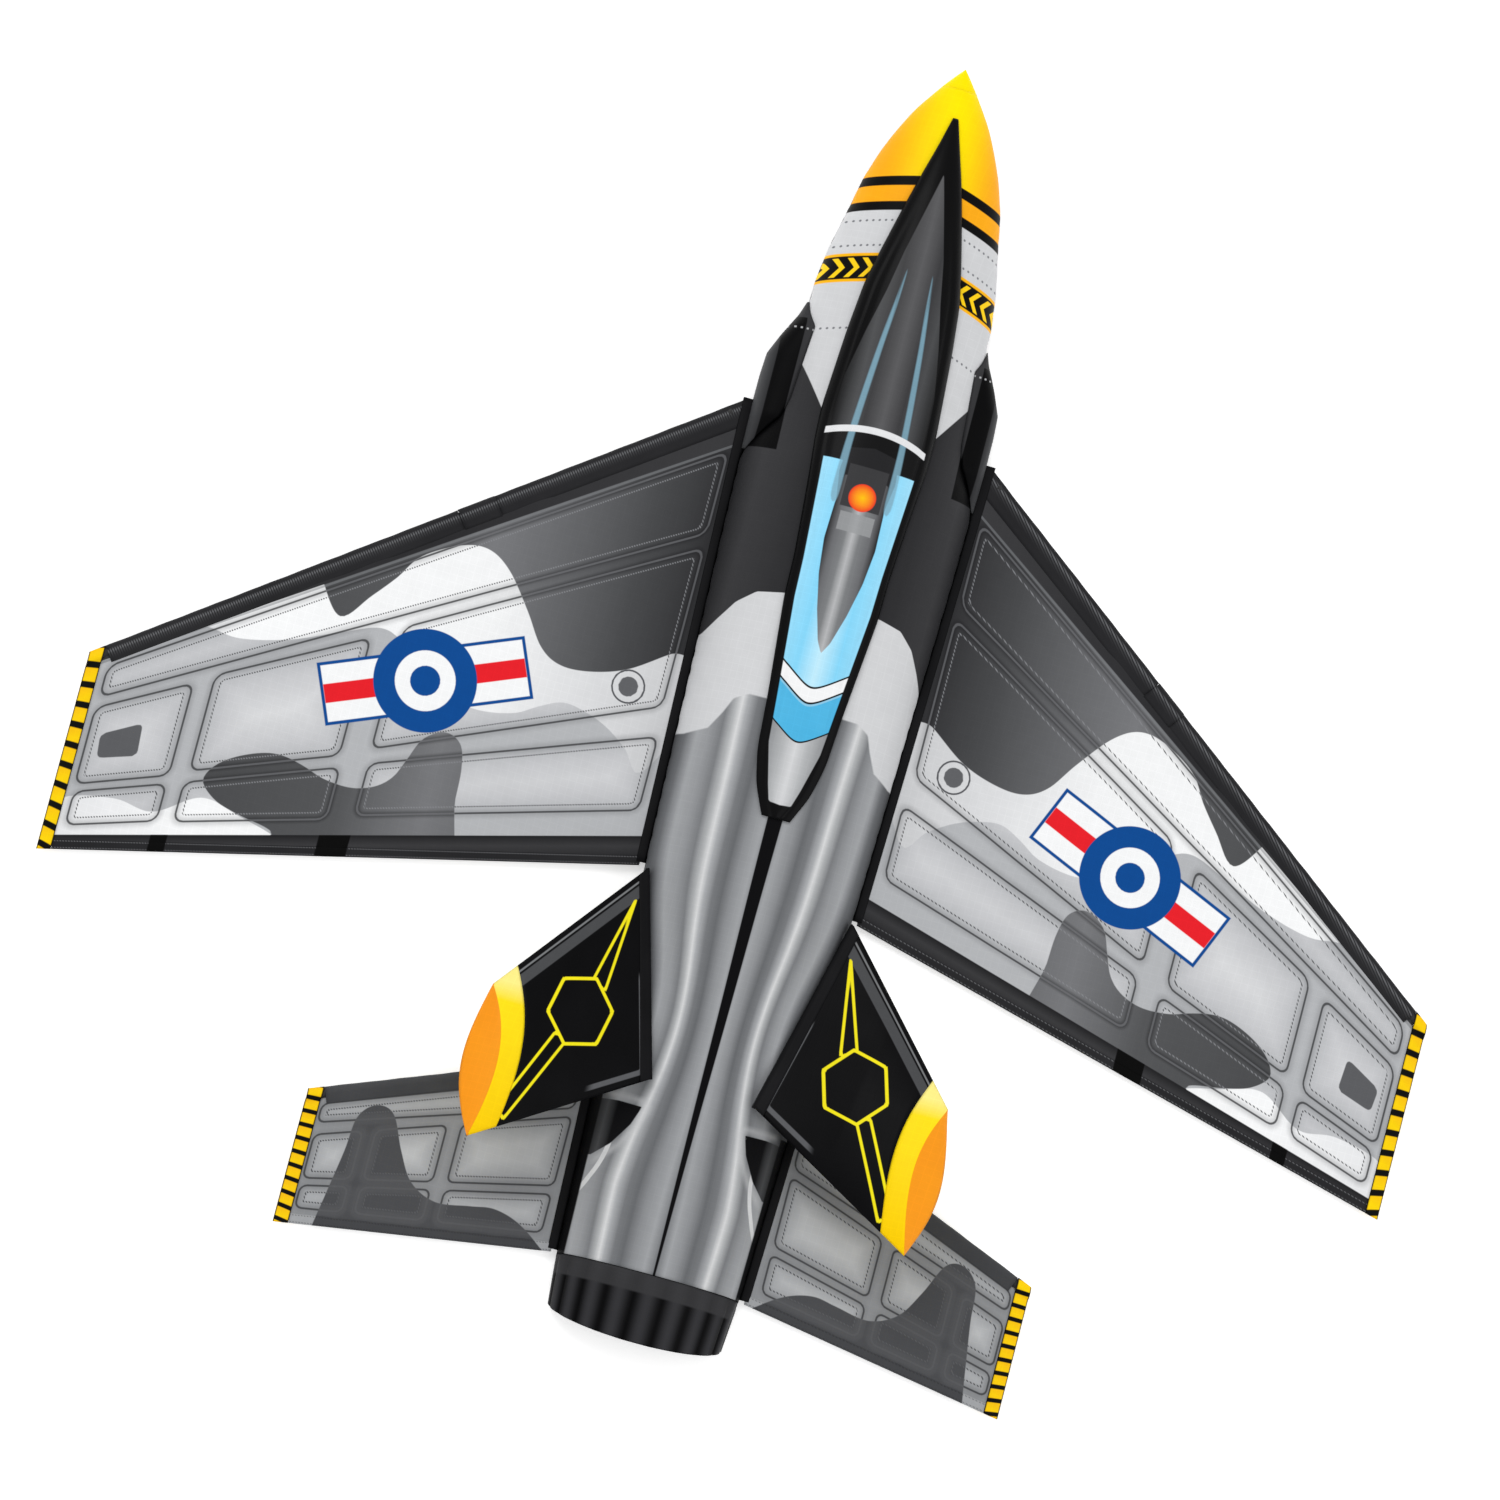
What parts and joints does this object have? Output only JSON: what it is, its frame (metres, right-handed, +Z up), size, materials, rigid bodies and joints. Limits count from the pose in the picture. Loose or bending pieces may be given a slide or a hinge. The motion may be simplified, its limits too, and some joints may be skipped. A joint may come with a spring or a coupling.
{
  "type": "delta kite",
  "caption": "Jet-shaped delta kite of printed nylon, with swept folding wings and tail panels, a hollow fuselage, canted padded fins, a folding keel and a rod frame.",
  "frame": {"origin": "on the surface that the kite lies on, under the middle of its bounding box", "axes": "+X to the kite's right, +Y to the nose, +Z up out of the printed face"},
  "size_m": [1.1, 1.048, 0.1191],
  "materials": {
    "fuselage_print": "printed ripstop nylon, metallic grey",
    "belly_cloth": "ripstop nylon",
    "canopy_print": "printed nylon with a black border",
    "sail_print": "printed ripstop nylon, grey camouflage",
    "dark_band": "doubled nylon hem and sleeve",
    "hazard_band": "yellow blocks on black",
    "intake_cloth": "padded nylon",
    "nozzle_cloth": "ribbed nylon",
    "fin_print": "padded nylon, black with pale edges",
    "fin_tip_cloth": "padded nylon, yellow to orange",
    "nose_cloth": "moulded tip under orange print",
    "glass_fibre": "pultruded rod, satin",
    "pale_fibre": "thin flexible strip",
    "moulded_fitting": "moulded vinyl",
    "keel_cloth": "ripstop nylon",
    "brass_eyelet": "pressed brass"
  },
  "bodies": {
    "fuselage": {"spine_rod": "glass_fibre", "nose_cap": "nose_cloth", "tail_cap": "moulded_fitting", "fuselage_skin": "fuselage_print", "belly_panel": "belly_cloth", "canopy_panel": "canopy_print", "nose_former": "pale_fibre", "cockpit_former": "pale_fibre", "front_former": "pale_fibre", "middle_former": "pale_fibre", "rear_former": "pale_fibre", "intake_left": "intake_cloth", "intake_right": "intake_cloth", "nozzle_skirt": "nozzle_cloth", "nozzle_hoop": "pale_fibre", "cross_spreader": "glass_fibre", "spreader_clip": "moulded_fitting", "keel_root_strip": "dark_band", "fin_base_left": "dark_band", "fin_base_right": "dark_band"},
    "wing_left": {"wing_sail_left": "sail_print", "wing_spar_left": "glass_fibre", "spar_sleeve_left": "dark_band", "spar_root_cap_left": "moulded_fitting", "spar_tip_cap_left": "moulded_fitting", "spreader_saddle_left": "moulded_fitting", "wing_tip_band_left": "hazard_band", "wing_hem_left": "dark_band", "wing_battens_left": "pale_fibre"},
    "stabiliser_left": {"stabiliser_sail_left": "sail_print", "stabiliser_rod_left": "glass_fibre", "stabiliser_sleeve_left": "dark_band", "stabiliser_caps_left": "moulded_fitting", "stabiliser_tip_band_left": "hazard_band", "stabiliser_hem_left": "dark_band"},
    "fin_left": {"fin_panel_left": "fin_print", "fin_tip_left": "fin_tip_cloth"},
    "wing_right": {"wing_sail_right": "sail_print", "wing_spar_right": "glass_fibre", "spar_sleeve_right": "dark_band", "spar_root_cap_right": "moulded_fitting", "spar_tip_cap_right": "moulded_fitting", "spreader_saddle_right": "moulded_fitting", "wing_tip_band_right": "hazard_band", "wing_hem_right": "dark_band", "wing_battens_right": "pale_fibre"},
    "stabiliser_right": {"stabiliser_sail_right": "sail_print", "stabiliser_rod_right": "glass_fibre", "stabiliser_sleeve_right": "dark_band", "stabiliser_caps_right": "moulded_fitting", "stabiliser_tip_band_right": "hazard_band", "stabiliser_hem_right": "dark_band"},
    "fin_right": {"fin_panel_right": "fin_print", "fin_tip_right": "fin_tip_cloth"},
    "keel": {"keel_panel": "keel_cloth", "keel_patch": "keel_cloth", "keel_eyelets": "brass_eyelet"}
  },
  "joints": [
    {"name": "wing_right_fold", "type": "hinge", "parent": "fuselage", "child": "wing_right", "pos_m": [0.098, 0.225, 0.0075], "axis": [-0.0301, -0.9995, 0], "range_deg": [0, 75]},
    {"name": "wing_left_fold", "type": "hinge", "parent": "fuselage", "child": "wing_left", "pos_m": [-0.0865, -0.157, 0.0075], "axis": [-0.0301, 0.9995, 0], "range_deg": [0, 75]},
    {"name": "stabiliser_right_fold", "type": "hinge", "parent": "fuselage", "child": "stabiliser_right", "pos_m": [0.076, -0.469, 0.0075], "axis": [0.0348, 0.9994, 0], "range_deg": [0, 75]},
    {"name": "stabiliser_left_fold", "type": "hinge", "parent": "fuselage", "child": "stabiliser_left", "pos_m": [-0.0815, -0.311, 0.0075], "axis": [0.0348, -0.9994, 0], "range_deg": [0, 75]},
    {"name": "fin_right_flex", "type": "hinge", "parent": "fuselage", "child": "fin_right", "pos_m": [0.084, -0.16, 0.027], "axis": [-0.2488, -0.9597, 0.1303], "range_deg": [-10, 60], "stiffness_Nm_per_rad": 3},
    {"name": "fin_left_flex", "type": "hinge", "parent": "fuselage", "child": "fin_left", "pos_m": [-0.042, -0.322, 0.049], "axis": [-0.2488, 0.9597, -0.1303], "range_deg": [-10, 60], "stiffness_Nm_per_rad": 3},
    {"name": "keel_fold", "type": "hinge", "parent": "fuselage", "child": "keel", "pos_m": [0, 0.064, 0.0008], "axis": [0, 1, 0], "range_deg": [0, 180]}
  ]
}
